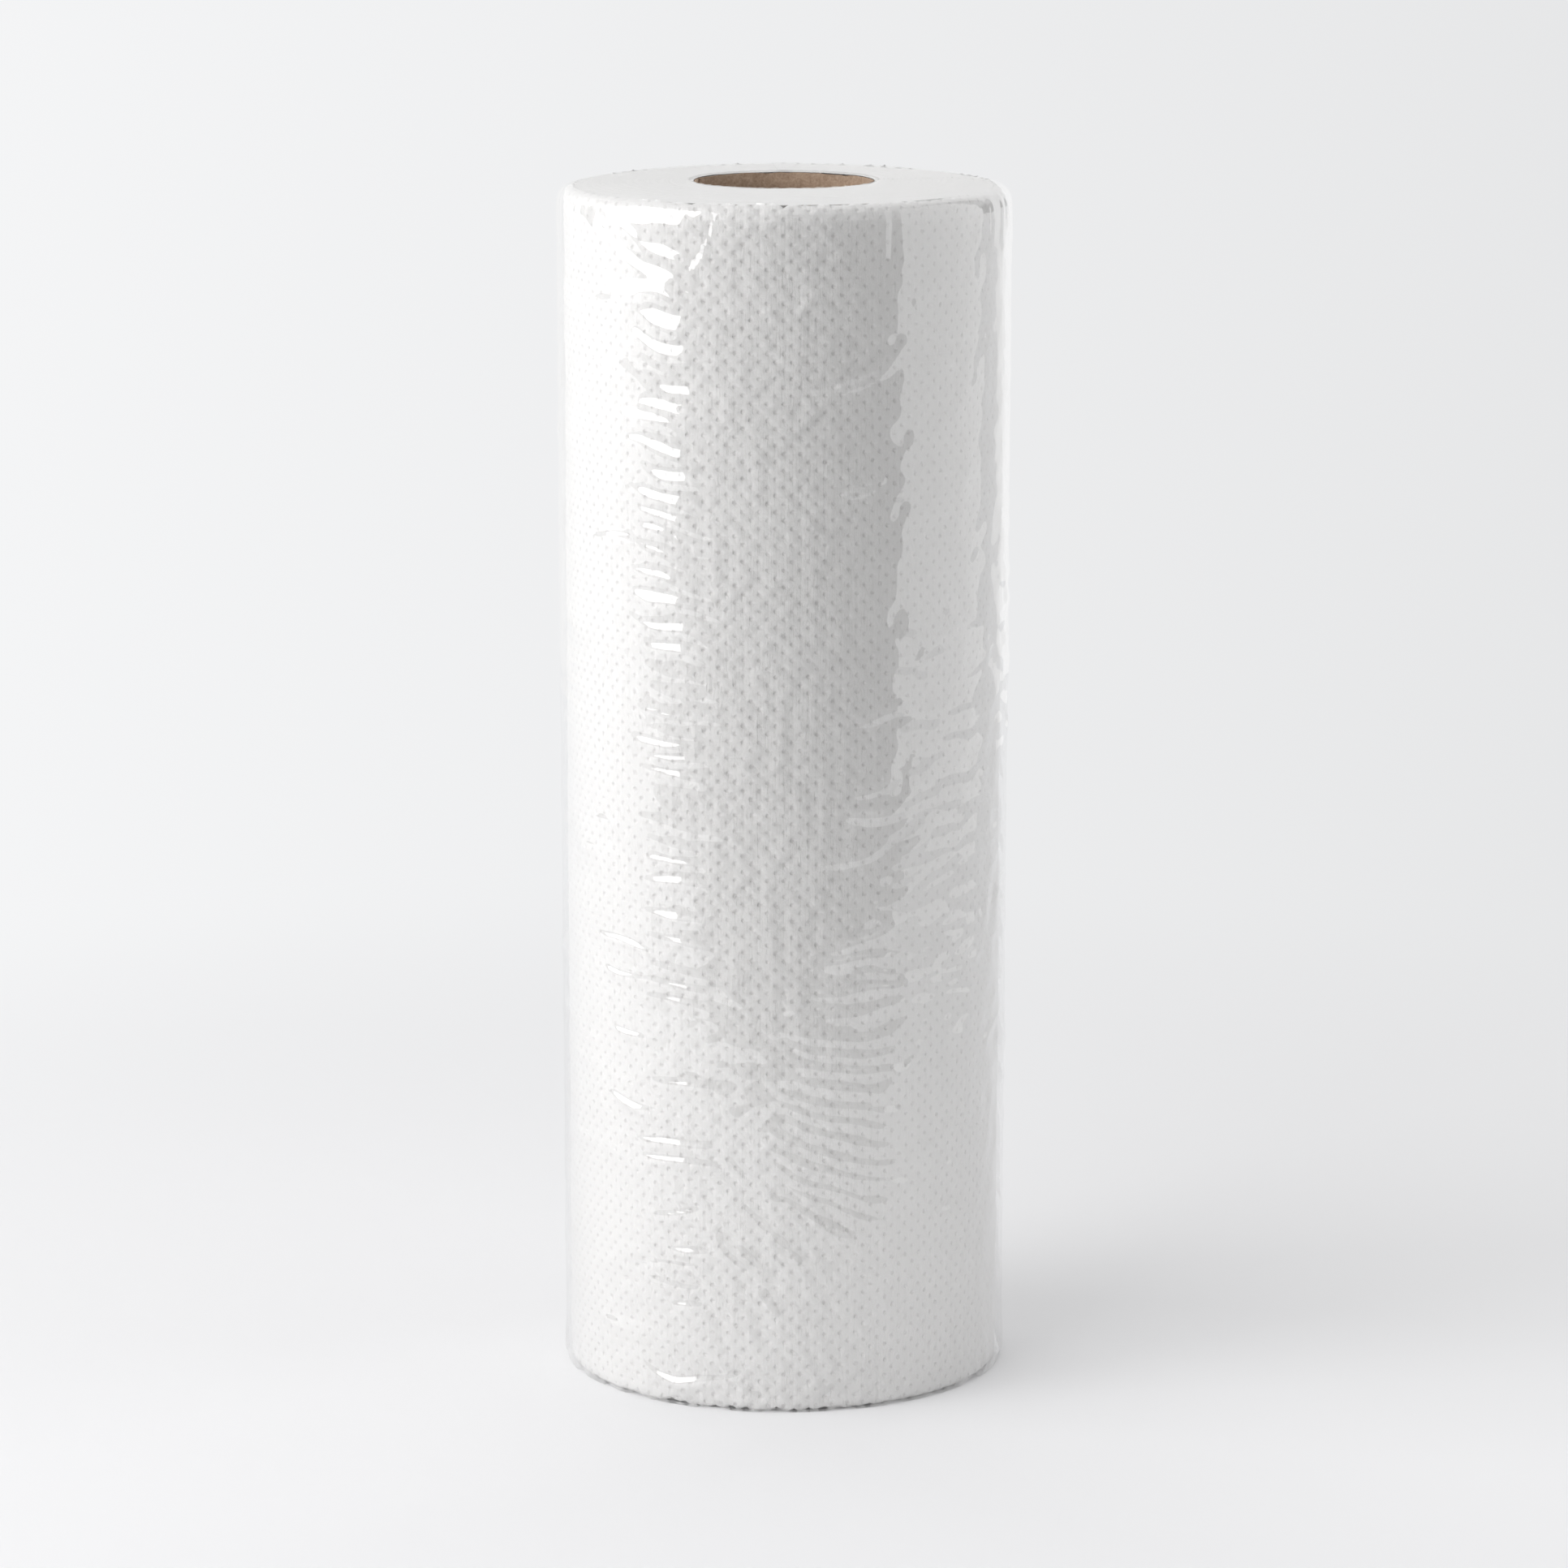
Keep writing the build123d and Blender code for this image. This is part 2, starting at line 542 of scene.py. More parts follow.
def wound_end_tree():
    """A disc of spiral ridges between the rim and the core, facing up or down."""
    tree, given = new_geometry_tree(
        "wound_end",
        {
            "Level": "Float",
            "Facing": "Float",
            "Crown": "Float",
            "Rim Rounding": "Float",
            "Rim Drop": "Float",
            "Seed": "Float",
            "Material": "Material",
        },
    )
    sides = {"Size X": 1.0, "Size Y": 1.0, "Vertices X": end_columns, "Vertices Y": 2 * turns_seen + 1}
    grid = add_node(tree, "GeometryNodeMeshGrid", sides)
    x, y, _ = split(tree, tree.nodes.new("GeometryNodeInputPosition").outputs[0])
    swept = x + 0.5
    turn = (y + 0.5) * turns_seen + swept
    radius = turn * -towel_thickness + (given["Rim Rounding"] * -1 + (paper_radius - puff_height))
    held = radius.do("MAXIMUM", core_radius)
    angle = swept * math.tau + tail_angle
    # Crowns and grooves, uneven from turn to turn and slowly round each turn
    groove = ((turn - swept) * 2).do("ROUND").do("FLOORED_MODULO", 2.0)
    whole = (turn - swept + 0.25).do("FLOOR")
    seat = join(tree, angle.do("COSINE") * 1.2, angle.do("SINE") * 1.2, whole * 0.7 + given["Seed"])
    uneven = noise(tree, seat, 1.0, 2.0) - 0.5
    across, away = held * angle.do("COSINE"), held * angle.do("SINE")
    broad = noise(tree, join(tree, across, away, given["Seed"]), 45, 2.0) - 0.5
    lift = groove * given["Crown"] + (uneven + broad) * end_unevenness
    edge = (held + given["Rim Rounding"]).ramp(paper_radius - 2.0 * MM, paper_radius - 0.7 * MM)
    drop = held.ramp(paper_radius - 12 * MM, paper_radius - 2 * MM) * given["Rim Drop"]
    height = lift * (edge * -1 + 1) - drop
    # Stored while the grid is still flat, because the positions it is made from change after
    marked = store_uv(tree, grid.outputs[0], turn - swept, swept)
    position = join(tree, across, away, height * given["Facing"] + given["Level"])
    shaped = add_node(tree, "GeometryNodeSetPosition", {"Geometry": marked, "Position": position})
    closed = weld(tree, shaped.outputs[0], 0.002 * MM)
    faces_up = given["Facing"].do("GREATER_THAN", 0.0)
    flipped = add_node(tree, "GeometryNodeFlipFaces", {"Mesh": closed, "Selection": faces_up})
    close_geometry_tree(tree, flipped.outputs[0], given["Material"])
    return tree


# %% Cut the two ends
wound_end = wound_end_tree()
ends = [
    grow(
        name,
        wound_end,
        {
            "Level": level,
            "Facing": facing,
            "Crown": crown_height,
            "Rim Rounding": rounding,
            "Rim Drop": drop,
            "Seed": seed,
            "Material": wound_edge,
        },
    )
    for name, level, facing, rounding, drop, seed in (
        ("wound_end_top", roll_top - top_sink, 1.0, rim_rounding, rim_drop - top_sink, 0.0),
        ("wound_end_bottom", roll_bottom + bottom_rise, -1.0, low_rounding, 0.0, 9.0),
    )
]

# %% [markdown]
# ## The core
# The core is two or three strips of grey-brown board wound in a spiral and glued. It shows as a
# dark bore with a slanting joint line, a rim that is cut a little rough, and one small tear. A
# mesh of about twenty thousand faces holds the wall, the rims and the tear, and the shader the
# joint and the fibres.

# %% Model the core
core_columns, core_rows = 160, 60
strip_pitch = 95 * MM
core_clearance = 0.02 * MM
fray_height = 0.16 * MM
tear_angle, tear_width = math.radians(46), math.radians(3.0)
tear_drop, tear_push = 0.2 * MM, 0.6 * MM
dark_board_colour, pale_board_colour = (0.19, 0.115, 0.07), (0.57, 0.43, 0.32)


def core_board_material():
    """Recycled board: mottled brown with darker and paler fibres and a spiral joint."""
    material, tree = new_material("core_board")
    place = tree.nodes.new("ShaderNodeTexCoord").outputs["Object"]
    x, y, z = split(tree, place)
    turn = y.do("ARCTAN2", x) / math.tau
    strip = (turn + z / strip_pitch + 0.1).do("FRACT")
    joint = (strip - 0.5).do("ABSOLUTE").ramp(0.004, 0.012)
    speck = noise(tree, place, 1500, 3.0, 0.7)
    mottle = noise(tree, place, 260, 3.0, 0.6)
    tone = (speck * 0.65 + mottle * 0.35 - 0.22) * 1.7
    colour = mix_colours(tree, tone * joint, dark_board_colour, pale_board_colour)
    bent = bump(tree, joint, 0.25 * MM, bump(tree, speck, 0.12 * MM))
    matt_material(tree, colour, 0.85, 0.25, bent)
    return material


def ring_mesh(name, sections, material):
    """A closed shell from sections, each a list of points round the axis, in order round the wall."""
    points = np.concatenate(sections)
    count, rings = len(sections[0]), len(sections)
    faces = []
    for i in range(rings):
        for j in range(count):
            a, b = i * count + j, i * count + (j + 1) % count
            c, d = ((i + 1) % rings) * count + (j + 1) % count, ((i + 1) % rings) * count + j
            faces.append((a, b, c, d))
    mesh = bpy.data.meshes.new(name)
    mesh.from_pydata(points.tolist(), [], faces)
    mesh.materials.append(material)
    mesh.shade_smooth()
    piece = bpy.data.objects.new(name, mesh)
    bpy.context.scene.collection.objects.link(piece)
    print_size(piece)
    return piece


def core_sections():
    """The wall's rings: up the outside, over the top rim, down the bore, under the bottom rim."""
    random = np.random.default_rng(11)
    turn = np.arange(core_columns) * math.tau / core_columns
    fray = np.convolve(np.tile(random.normal(0, 1, core_columns), 3), np.ones(3) / 3, "same")
    fray = fray[core_columns : 2 * core_columns] * fray_height
    tear = np.exp(-(((turn - tear_angle) / tear_width) ** 2))
    levels = np.linspace(roll_bottom, roll_top - top_sink, core_rows)
    wall = []
    for radius, heights, pushed_in, torn_down in (
        (core_radius - core_clearance, levels, 0.0, 1.0),
        (bore_radius, levels[::-1], tear_push, 0.6),
    ):
        for level in heights:
            near_top = math.exp(-(roll_top - level) / (1.6 * MM))
            near_end = math.exp(-(level - roll_bottom) / (1.2 * MM))
            r = radius - pushed_in * tear * near_top
            rim = (fray - tear_drop * torn_down * tear) * near_top
            z = level + rim - 0.3 * fray * near_end
            wall.append(np.stack([r * np.cos(turn), r * np.sin(turn), z], 1))
    return wall


core = ring_mesh("core_tube", core_sections(), core_board_material())

# %% [markdown]
# ## The film
# Shrink film is pulled tight over the two ends and hangs slack on the side, where it wrinkles.
# What is seen of it is not the film but what it mirrors, so its slopes matter more than its
# shape. It is one mesh: a grid of columns round the roll and rows from the opening in the top,
# over the shoulder, down the side, under the bottom shoulder to the lower opening. Creases are
# laid on it one by one and in families, in degrees round from the front and millimetres up.

# %% The film's grid
# All in millimetres: how far the flat faces reach, the two openings, and the rounded shoulders
flat_radius, low_flat_radius = 48.6, 50.0
opening_radius, top_opening_radius = 24.4, 22.0
top_shoulder_height, low_shoulder_height = 6.0, 2.2
low_side_radius, side_flare = 51.85, 0.6
face_gap, low_face_gap = 0.12, 0.03
seam_lap = 7.0
low_mm, high_mm = film_bottom / MM, film_top / MM
drop_mm = rim_drop / MM
film_girth = math.tau * film_radius / MM


def smooth_step(value, low, high):
    """0 below low and 1 above high, with a smooth step between, for a number or an array."""
    share = np.clip((value - low) / (high - low), 0, 1)
    return share * share * (3 - 2 * share)


def steps(start, end, step):
    """Places from start to end whose spacing is given by step(place)."""
    places = [start]
    while places[-1] < end:
        places.append(places[-1] + step(places[-1]))
    return start + (np.array(places) - start) * (end - start) / (places[-1] - start)


def column_step(around):
    """Closer columns on the front, where the film is most wrinkled."""
    return 1.0 if -58 < around < 72 else 2.0


def row_step(level):
    """Closer rows low down, where the creases are finest."""
    return 0.68 if level < 136 else 0.76


half_wrap = (film_girth + seam_lap) / 2
round_mm = steps(-half_wrap, half_wrap, column_step)
front_angle = np.degrees(round_mm * MM / film_radius)
side_levels = steps(low_mm + low_shoulder_height, high_mm - top_shoulder_height, row_step)[::-1]
top_face_rows, top_shoulder_rows, low_shoulder_rows, low_face_rows = 16, 14, 10, 8


def side_radius(level):
    """The film's mean radius: it stands further off the paper towards the top."""
    return low_side_radius + side_flare * np.clip(level / high_mm, 0, 1)


def meridian():
    """The film's line from the top opening to the bottom one: radius and height."""
    quarter = math.pi / 2
    face = np.linspace(top_opening_radius, flat_radius, top_face_rows, endpoint=False)
    face_level = high_mm + face_gap - drop_mm * smooth_step(face, 40, flat_radius)
    top_level = high_mm + face_gap - drop_mm
    turn = np.linspace(0, quarter, top_shoulder_rows, endpoint=False)
    reach = side_radius(high_mm - top_shoulder_height) - flat_radius
    shoulder_height = top_level - (high_mm - top_shoulder_height)
    low_turn = np.linspace(0, quarter, low_shoulder_rows + 1)[1:-1]
    low_reach = side_radius(low_shoulder_height) - low_flat_radius
    low_face = np.linspace(low_flat_radius, opening_radius, low_face_rows)
    radius = np.concatenate(
        [
            face,
            flat_radius + reach * np.sin(turn) ** 0.8,
            side_radius(side_levels),
            low_flat_radius + low_reach * np.cos(low_turn) ** 0.8,
            low_face,
        ]
    )
    height = np.concatenate(
        [
            face_level,
            top_level - shoulder_height * (1 - np.cos(turn) ** 0.9),
            side_levels,
            low_mm + low_face_gap + low_shoulder_height * (1 - np.sin(low_turn) ** 0.9),
            np.full(low_face_rows, low_mm + low_face_gap),
        ]
    )
    return radius, height


base_radius, base_height = meridian()
film_rows, film_columns = len(base_radius), len(round_mm)
print(f"film grid {film_columns} by {film_rows}, {2 * (film_columns - 1) * (film_rows - 1)} triangles")

# %% [markdown]
# ## Creases
# A crease is a low ridge along a line that may sag, with tapered ends. Its upper flank faces up
# a little and mirrors the tall board on the left, which is why each one shows as a stroke. Every
# family below follows how film wrinkles: level ripples where it is slack lengthwise, fans where
# it is pulled to a corner, fine gathers at the rims.

# %% Crease tools
grid_round, grid_height = np.meshgrid(round_mm, base_height)
grid_angle = np.broadcast_to(front_angle, grid_round.shape)
relief = np.zeros_like(grid_round)


def random_waves(seed, shortest, longest, stretch, count=28):
    """A smooth random field, about 1 high, of waves between two lengths in millimetres, drawn out
    round the roll by stretch, and closed on itself round it."""
    random = np.random.default_rng(seed)
    field = np.zeros_like(grid_round)
    for _ in range(count):
        length = random.uniform(shortest, longest)
        heading = random.uniform(0, math.tau)
        around = round(film_girth / length * math.cos(heading) / stretch)
        upward = math.tau / length * math.sin(heading)
        phase = random.uniform(0, math.tau)
        field += np.cos(grid_round * around * math.tau / film_girth + grid_height * upward + phase)
    return field / math.sqrt(count / 2)


warp_round = 0.8 * random_waves(1, 8, 26, 1.5)
warp_height = 0.42 * random_waves(2, 8, 26, 1.5)
strength = np.clip(0.9 + 0.3 * random_waves(3, 10, 26, 1.5), 0.45, 1.5)


def crease(start, end, sag, width, height, sharp=0.5):
    """Adds a ridge from start to end, each (degrees from the front, millimetres up), bowed down by
    sag, with a half width and a height in millimetres."""
    (a0, z0), (a1, z1) = start, end
    x0, x1 = (math.radians(a) * film_radius / MM for a in (a0, a1))
    length = math.hypot(x1 - x0, z1 - z0)
    ux, uz = (x1 - x0) / length, (z1 - z0) / length
    dx = (grid_round + warp_round - x0 + film_girth / 2) % film_girth - film_girth / 2
    dz = grid_height + warp_height - z0
    share = (dx * ux + dz * uz) / length
    off = dz * ux - dx * uz + sag * 4 * share * (1 - share) * math.copysign(1, ux)
    taper = np.clip(share * (1 - share) * 4, 0, 1) ** sharp * ((share > 0) & (share < 1))
    relief[:] += height * strength * taper * np.exp(-((off / width) ** 2))


def report(family):
    """Prints how high the relief is once a family of creases has been added."""
    print(f"{family}: relief up to {relief.max():.2f} mm")


# %% Ripples on the left: thick and close above, thin and apart below
# Each number is the height at which one ripple of the stack lies
high_ripples = (256, 249.5, 244.5, 239.5, 235, 230.5, 226, 220.5)
high_ripples += (215, 209.5, 205.5, 201, 197, 191, 186, 180.3)
middle_ripples = (176.2, 171.3, 167, 161.5, 157.5, 154.5, 151.5, 148, 135.5)
low_ripples = (131.7, 127.5, 122.9, 115.5, 109.6, 102.7, 98.8, 95.1, 76, 61.7, 57.7)
random = np.random.default_rng(21)
for level in high_ripples:
    width = 1.0 + 0.8 * smooth_step(level, 175, 240)
    reach = random.uniform(12, 19)
    start, end = (-26 - reach, level + reach * 0.24), (-14, level - 1)
    crease(start, end, random.uniform(0.3, 1.2), width, 0.45)
for level in middle_ripples:
    reach = random.uniform(8, 16)
    start, end = (-26 - reach, level + reach * 0.12), (-16, level - 0.3)
    crease(start, end, random.uniform(0.2, 0.8), 0.95, 0.4)
for level in low_ripples:
    crease((-38.5, level + 1), (-19, level - 0.2), 0.4, 0.85, 0.5)
report("ripples on the left")

# %% Single short ones further out on the left
for start, end, sag in (
    ((-57, 109.4), (-35, 106), 0.6),
    ((-54, 102), (-37, 99.3), 0.8),
    ((-49, 87.6), (-38, 86), 0.4),
    ((-51, 71.6), (-33, 69), 0.5),
    ((-39, 43.4), (-22, 47.8), 0.5),
    ((-30, 36.6), (-17, 36.8), 0.1),
    ((-42, 31.4), (-22, 34.6), 0.6),
    ((-38.5, 30), (-19, 29.4), 2.0),
    ((-31, 23.6), (-20, 24.4), 0.2),
):
    crease(start, end, sag, 0.85, 0.55)
report("short creases on the left")

# %% [markdown]
# ## Creases on the front
# At the top the film is drawn towards the left corner. On the right of the front it lies in
# level ripples, and lower down, where it bows under its own pull, these turn into a stack of
# smiles. Near the bottom long creases run down to the right, where the sleeve was twisted.

# %% Film pulled to the top corner on the left, and single creases on the front
for start, end, width, height in (
    ((-60, 274), (-26, 258), 1.5, 0.35),
    ((-52, 276), (-24, 263), 1.3, 0.3),
    ((-62, 266), (-34, 254), 1.6, 0.35),
    ((-25, 261), (-13, 279), 0.9, 0.5),
    ((-12, 270), (-8.5, 279), 1.1, 0.45),
    ((-0.5, 251.5), (4.6, 263.5), 1.0, 1.0),
    ((11, 211.5), (26, 216.5), 1.0, 0.5),
):
    crease(start, end, 0.6, width, height)
crease((-5, 236.5), (31, 246), 5.0, 1.0, 0.5)
report("creases at the top")

# %% Ripples on the right of the front, which turn into smiles lower down
for start, end in (
    ((11, 160.5), (31, 163.5)),
    ((16, 145), (29, 148.5)),
    ((15, 140), (32, 140.5)),
    ((11, 127.8), (28, 134)),
    ((11, 109), (33, 114)),
    ((9.5, 105.8), (33, 107.5)),
    ((5, 98), (40, 101)),
    ((11, 93), (32, 96)),
):
    crease(start, end, 0.5, 0.95, 0.4)
for step in range(11):
    low = 89 - 4.3 * step
    lean = 1.5 + 0.9 * step
    start, end = (1 - step * 0.5, low + lean), (29 + step * 0.4, low - lean * 0.25)
    crease(start, end, 1.6 + 0.1 * step, 1.3, 0.42, 0.7)
crease((19, 70), (40, 87), 0.3, 1.0, 0.3)
crease((-43, 10), (-11, 10.5), 5.5, 0.95, 0.8, 0.3)
report("ripples and smiles")

# %% Long creases that run down to the right near the bottom
for start, end in (
    ((-14.5, 60), (7, 18)),
    ((-20.5, 51), (-2, 20)),
    ((-19, 41), (5.5, 11)),
    ((-8, 48), (9.5, 27)),
    ((-1.5, 51), (18, 39.8)),
    ((4, 44), (20, 41)),
    ((-16, 56), (3, 10)),
    ((-9, 34), (4, 4)),
    ((-16, 10.5), (-2, 1.5)),
    ((-3, 24), (-1.5, 2)),
):
    crease(start, end, 0.8, 1.1, 0.45)
report("long creases near the bottom")

# %% [markdown]
# ## Slack with no order
# Past the creases that can be told apart the film is simply crumpled: many short creases with a
# random place and slant, and under them smooth waves. The seeds are fixed, so the film is the
# same each time. Weights say how much of each kind a place gets.

# %% Weights that say where each kind of slack lies
on_side = smooth_step(grid_height, 2, 8) * (1 - smooth_step(grid_height, 271, 277))
right_side = smooth_step(grid_angle, 14, 30) * (1 - smooth_step(grid_angle, 80, 100))

# %% Crumpled film low on the right, and more of it here and there behind
random = np.random.default_rng(33)
for _ in range(80):
    middle = random.normal(46, 11), random.normal(118, 24)
    half, slant = random.uniform(3, 9), random.uniform(-0.1, 0.65)
    start = middle[0] - half, middle[1] - half * slant * 0.9
    end = middle[0] + half, middle[1] + half * slant * 0.9
    crease(start, end, random.uniform(-1.2, 1.2), random.uniform(0.8, 1.2), random.uniform(0.12, 0.3))
for _ in range(110):
    middle = random.uniform(84, 320), random.uniform(12, 268)
    half, slant = random.uniform(5, 16), random.uniform(-0.35, 0.35)
    start = middle[0] - half, middle[1] - half * slant
    end = middle[0] + half, middle[1] + half * slant
    crease(start, end, random.uniform(-2, 2), random.uniform(1.5, 2.2), random.uniform(0.2, 0.4))
report("crumpled film")

# %% Fine slack everywhere, livelier on the right
relief += 0.04 * on_side * random_waves(4, 8, 24, 2.2)
relief += 0.032 * on_side * random_waves(5, 4.2, 8, 1.3, 40)
relief += 0.055 * on_side * right_side * random_waves(6, 4.5, 9, 1.2, 40)
report("fine slack")

# %% Gathers that run over both rims


def gathers(seed, spacing):
    """A ridge pattern round the roll, about 1 high, with the given mean spacing in millimetres."""
    random = np.random.default_rng(seed)
    pattern = np.zeros_like(round_mm)
    for _ in range(24):
        count = round(film_girth / (spacing * random.uniform(0.6, 1.9)))
        pattern += np.cos(count * round_mm * math.tau / film_girth + random.uniform(0, math.tau))
    return pattern / math.sqrt(12)


near_top = np.exp(-(((base_height - 274) / 6.5) ** 2))[:, None] * (base_radius > flat_radius)[:, None]
near_low = np.exp(-(((base_height - 3) / 5.5) ** 2))[:, None] * (base_radius > flat_radius)[:, None]
uneven = 0.55 + 0.45 * np.clip(gathers(40, 40.0), -1, 1)
front_calm = 1 - 0.75 * smooth_step(front_angle, -22, -8) * (1 - smooth_step(front_angle, 18, 34))
relief += 0.13 * near_top * gathers(41, 3.4) * uneven * front_calm
relief += 0.18 * near_low * gathers(42, 4.2) * uneven
report("gathers")

# %% [markdown]
# ## From relief to mesh
# The relief is added to the meridian's radius on the side, and fades out where the film turns
# onto the flat faces. The grid starts and ends at the back, where its last strip lies over its
# first: that is the lap seam. A limit keeps the film outside the paper.

# %% Place the film's points
lowest_gap = 0.3
lap_height, face_lap_height, lap_edge = 0.25, 0.08, 1.5
radius_column, height_column = base_radius[:, None], base_height[:, None]
is_side = smooth_step(radius_column, flat_radius - 2, flat_radius + 2)
on_face = 1 - is_side
upper_half = height_column > high_mm / 2
lap_start = film_girth / 2 - seam_lap
lap = smooth_step(round_mm, lap_start, lap_start + lap_edge) * lap_height
face_lap = smooth_step(round_mm, lap_start, lap_start + seam_lap) * face_lap_height
standing = radius_column + (relief + lap) * is_side
paper_limit = paper_radius / MM + lowest_gap
clear_of_paper = np.maximum(standing, paper_limit * is_side)
standing = np.where(height_column > high_mm - 5, standing, clear_of_paper)
# The edge of the top opening runs in and out a little
at_opening = np.exp(-(radius_column - top_opening_radius) / 1.2) * upper_half
standing = standing + 0.3 * np.clip(gathers(43, 6.0), -2, 2) * at_opening * on_face
tall = height_column + face_lap * on_face * np.where(upper_half, 1, -0.1)
# The gathered film stands a little off the table here and there
low_lift = 0.7 * np.clip(gathers(44, 15.0), 0, 1.6)
at_low_rim = np.exp(-(height_column - low_mm) / 3.5) * smooth_step(radius_column, 46, 50)
tall = tall + low_lift * at_low_rim
world_angle = np.radians(front_angle - 90)
places = np.stack([standing * np.cos(world_angle), standing * np.sin(world_angle), tall], -1) * MM
print(f"film from radius {standing.min():.1f} to {standing.max():.1f} mm")

# %% Build the film's mesh


def film_mesh(points, material):
    """A grid of faces that look outward, open at its four edges."""
    rows, columns = points.shape[:2]
    row, column = np.meshgrid(np.arange(rows - 1), np.arange(columns - 1), indexing="ij")
    first = row * columns + column
    below = first + columns
    quads = np.stack([first, below, below + 1, first + 1], -1).reshape(-1, 4)
    mesh = bpy.data.meshes.new("film")
    mesh.from_pydata(points.reshape(-1, 3).tolist(), [], quads.tolist())
    mesh.materials.append(material)
    mesh.shade_smooth()
    piece = bpy.data.objects.new("film", mesh)
    bpy.context.scene.collection.objects.link(piece)
    print_size(piece)
    return piece


# %% [markdown]
# ## The film's finish
# Clear film has no colour to speak of. It passes most light straight through and mirrors the
# rest, little when seen square on and much when seen along its surface, which is what a Fresnel
# node gives. Both faces of the film mirror, and a double layer more, so the share is over twice
# that of one face. It is capped, because a crumpled film never turns into a full mirror at its
# outline, and it is capped lower on the top, where the film lies tight on the paper.

# %% The film's material
mirror_gain = 2.25
most_on_side, less_on_top = 0.6, 0.12


def film_material():
    """Clear film: what it doesn't mirror passes straight through."""
    material, tree = new_material("clear_film")
    mirrored = Wire(tree, add_node(tree, "ShaderNodeFresnel", {"IOR": 1.5}).outputs[0])
    level = split(tree, tree.nodes.new("ShaderNodeTexCoord").outputs["Object"])[2]
    on_top = level.ramp(roll_top - rim_drop - 1.0 * MM, roll_top - rim_drop)
    share = (mirrored * mirror_gain).do("MINIMUM", on_top * -less_on_top + most_on_side)
    clear = add_node(tree, "ShaderNodeBsdfTransparent", {"Color": (0.985, 0.985, 0.985, 1)})
    shine = add_node(tree, "ShaderNodeBsdfGlossy", {"Color": (1, 1, 1, 1), "Roughness": 0.02})
    mixed = add_node(tree, "ShaderNodeMixShader", {0: share, 1: clear.outputs[0], 2: shine.outputs[0]})
    finish_material(tree, mixed)
    return material


film = film_mesh(places, film_material())

# %% [markdown]
# ## Bodies and replaced solids
# The row has one body, so every piece rides on it. The plain solids are hidden and kept for
# collision. The film is a sheet a little wider than the roll's girth, for its lap seam, and it
# turns over both ends.

for piece in (*sheets, *ends, core, film):
    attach(piece, "root")
for piece in (*sheets, *ends):
    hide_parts("towel_roll")
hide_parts("cardboard_core")
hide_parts("film_wrap")

# %% [markdown]
# ## Studio
# Clear film shows only what stands round it, so light and reflections are set up apart. Soft area
# lights light the paper and stay out of the film. Glowing boards show in the film and light
# nothing: a tall bright one on the left, a paler one on the right and two behind. The room
# behind the camera is dark, and dim higher up, so the film's front stays clear.
#
# The floor is matt near the roll, where it takes the soft shadow, and turns into an evenly
# glowing surface further off, which meets the backdrop without a line. Its front is left out of
# mirrored rays, as if the table ended there.

# %% Floor
table_edge = -0.34
floor_reach = 12
floor_back = 14
camera_distance = 1.37
backdrop_tone = 0.83


def floor_piece(name, low, high, material):
    """A level rectangle from one corner to the other, as part of the stage."""
    mesh = bpy.data.meshes.new(name)
    corners = [(low[0], low[1], 0), (high[0], low[1], 0), (high[0], high[1], 0), (low[0], high[1], 0)]
    mesh.from_pydata(corners, [], [(0, 1, 2, 3)])
    mesh.materials.append(material)
    piece = bpy.data.objects.new(name, mesh)
    bpy.context.scene.collection.objects.link(piece)
    return piece


def floor_material():
    """White paint near the roll, which fades into an evenly lit far floor and then the backdrop."""
    material, tree = new_material("floor")
    x, y, _ = split(tree, tree.nodes.new("ShaderNodeTexCoord").outputs["Object"])
    from_roll = (x * x + y * y).do("SQRT")
    away = from_roll.ramp(0.20, 0.55)
    near = from_roll.ramp(4.5, 9.0) * -1 + 1
    # The room is a little brighter on the left than on the right
    sideways = (x / (y.do("MAXIMUM", -0.3) + camera_distance)).clamp(-0.15, 0.15)
    shade = (sideways * -0.42 + 0.025) * near + backdrop_tone
    even = add_node(tree, "ShaderNodeEmission", {"Color": join(tree, shade * 0.995, shade, shade * 1.01)})
    paint = add_node(tree, "ShaderNodeBsdfDiffuse", {"Color": (0.84, 0.84, 0.85, 1)})
    mixed = add_node(tree, "ShaderNodeMixShader", {0: away, 1: paint.outputs[0], 2: even.outputs[0]})
    finish_material(tree, mixed)
    return material


floor_paint = floor_material()
floor_piece("floor", (-floor_reach, table_edge), (floor_reach, floor_back), floor_paint)
front_corner = (-floor_reach, -floor_reach)
floor_front = floor_piece("floor_front", front_corner, (floor_reach, table_edge), floor_paint)
floor_front.visible_glossy = False
print(f"table edge {-table_edge} m in front of the roll's axis")

# %% [markdown]
# ## Soft light
# Each light is an upright rectangle that faces the roll. Its power is worked out from its size
# and the brightness of its surface, so a larger one lights more without getting brighter. The
# key on the left and a wide fill between it and the camera do most of the work, one on the
# right lifts the shaded side, and a low strip lifts the foot of the roll.

# %% Lights


def upright(azimuth, distance):
    """Where something stands round the roll, azimuth in degrees from the camera's side to the right."""
    turn = math.radians(azimuth)
    return Vector((distance * math.sin(turn), -distance * math.cos(turn), 0))


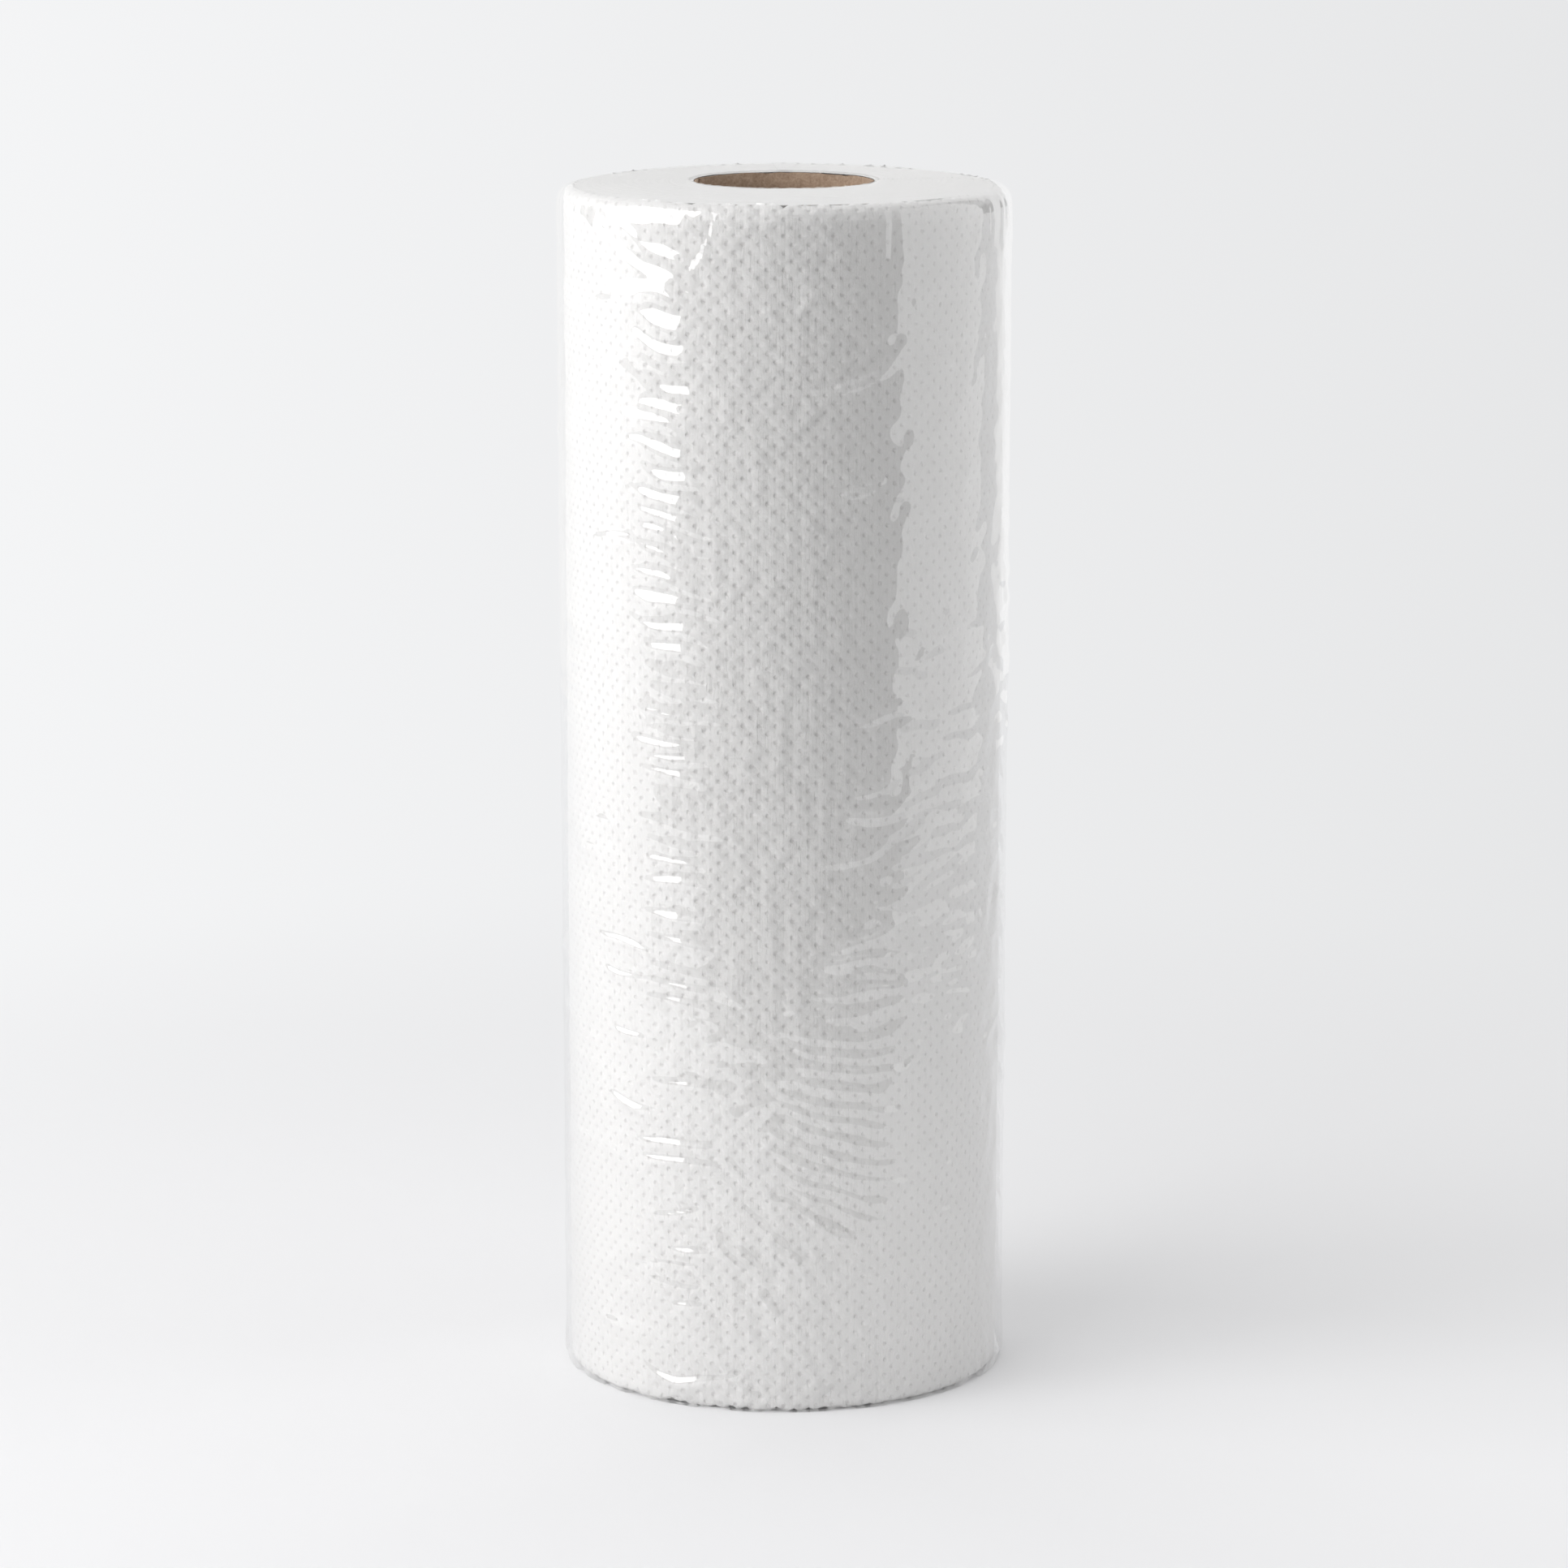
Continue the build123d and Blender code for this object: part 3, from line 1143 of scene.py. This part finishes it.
def soft_light(name, azimuth, distance, width, low, high, radiance, spread=180):
    """An upright rectangular light that faces the roll and isn't seen itself."""
    data = bpy.data.lights.new(name, "AREA")
    data.shape = "RECTANGLE"
    data.size, data.size_y = width, high - low
    data.energy = radiance * math.pi * width * (high - low)
    data.spread = math.radians(spread)
    light = bpy.data.objects.new(name, data)
    place = upright(azimuth, distance)
    light.location = place + Vector((0, 0, (low + high) / 2))
    light.rotation_mode = "QUATERNION"
    light.rotation_quaternion = (-place).to_track_quat("-Z", "Y")
    light.visible_camera = False
    light.visible_glossy = False
    bpy.context.scene.collection.objects.link(light)
    print(f"{name}: {data.energy:.2f} W")
    return light


# Name, azimuth, distance, width, lower and upper edge, brightness
soft_light("key", -76, 0.95, 0.92, 0.22, 1.35, 1.6)
soft_light("front_fill", -50, 1.8, 2.0, 0.02, 1.7, 2.08)
soft_light("right_fill", 86.5, 0.62, 0.67, 0.0, 0.9, 0.6)
low_fill = soft_light("low_fill", 18, 0.205, 0.34, 0.0, 0.07, 0.34, spread=120)

# The low light stands close in front, so it lights the roll alone and leaves no line on the floor
roll_only = bpy.data.collections.new("roll_only")
for piece in (*sheets, *ends, core, film):
    roll_only.objects.link(piece)
low_fill.light_linking.receiver_collection = roll_only

# %% [markdown]
# ## What the film mirrors
# The boards decide where the film flashes and where it is clear. The left one is bright enough to
# burn out on a crease, and ends sharply in front, so each crease draws a stroke. The right one
# gives the pale band on the right, and the dark strip beside it is the gap between two boards.

# %% White boards


def white_board(name, azimuth, distance, width, low, high, radiance):
    """An upright glowing board that is seen in the film only."""
    material, tree = new_material(name)
    finish_material(tree, add_node(tree, "ShaderNodeEmission", {"Strength": radiance}))
    middle = upright(azimuth, distance)
    aside = upright(azimuth + 90, width / 2)
    mesh = bpy.data.meshes.new(name)
    edges = ((-1, low), (1, low), (1, high), (-1, high))
    corners = [middle + aside * side + Vector((0, 0, height)) for side, height in edges]
    mesh.from_pydata(corners, [], [(0, 1, 2, 3)])
    mesh.materials.append(material)
    board = bpy.data.objects.new(name, mesh)
    board.visible_camera = False
    board.visible_diffuse = False
    board.visible_shadow = False
    bpy.context.scene.collection.objects.link(board)


# Name, azimuth, distance, width, lower and upper edge, brightness
white_board("key_panel", -76, 0.95, 0.92, 0.22, 1.35, 3.8)
white_board("right_card", 86.5, 0.62, 0.67, 0.0, 0.9, 1.2)
white_board("back_card_right", 154, 0.9, 0.66, 0.0, 0.9, 0.95)
white_board("back_card_left", -150, 0.9, 0.9, 0.0, 0.9, 0.95)

# %% [markdown]
# ## Backdrop
# The world is the room: pale behind the roll and overhead, dark behind the camera. In the film
# the dark part has a paler wall above it. Seen straight on, the world is one even tone.

# %% World
dark_room, pale_room, mirrored_wall = 0.10, 0.85, 0.45
world = bpy.data.worlds.new("studio")
bpy.context.scene.world = world
world.use_nodes = True
world_tree = world.node_tree
world_tree.nodes.clear()
direction = world_tree.nodes.new("ShaderNodeTexCoord").outputs["Generated"]
east, north, upward = split(world_tree, direction)
level_length = (east * east + north * north).do("SQRT")
backdrop = (north / level_length).ramp(0.67, 0.72)
overhead = upward.ramp(0.45, 0.85)
ray = world_tree.nodes.new("ShaderNodeLightPath")
wall = upward.ramp(0.12, 0.32) * Wire(world_tree, ray.outputs["Is Glossy Ray"]) * mirrored_wall
room = (backdrop.do("MAXIMUM", overhead) * pale_room).do("MAXIMUM", wall) + dark_room
seen = Wire(world_tree, ray.outputs["Is Camera Ray"])
tone = room + seen * (room * -1 + backdrop_tone)
glow = add_node(world_tree, "ShaderNodeBackground", {"Color": join(world_tree, tone, tone, tone)})
add_node(world_tree, "ShaderNodeOutputWorld", {"Surface": glow.outputs[0]})
print("world:", world.name)

# %% [markdown]
# ## Camera
# A long lens from well back, a little above the roll and tilted down by 11 degrees, so that the
# upright sides stay nearly parallel and the top shows as a narrow ellipse.

# %% Camera
camera_data = bpy.data.cameras.new("camera")
camera_data.lens = 136.7
camera_data.sensor_width = 36
camera_data.clip_start = 0.05
camera_data.clip_end = 60
camera = bpy.data.objects.new("camera", camera_data)
camera.location = (0, -1.3698, 0.408)
tilt_down = 11.17
camera.rotation_euler = (math.radians(90 - tilt_down), 0, 0)
bpy.context.scene.collection.objects.link(camera)
bpy.context.scene.camera = camera
bpy.context.scene.view_settings.view_transform = "Standard"
print(f"camera: {camera_data.lens} mm lens, tilted down {tilt_down} degrees")
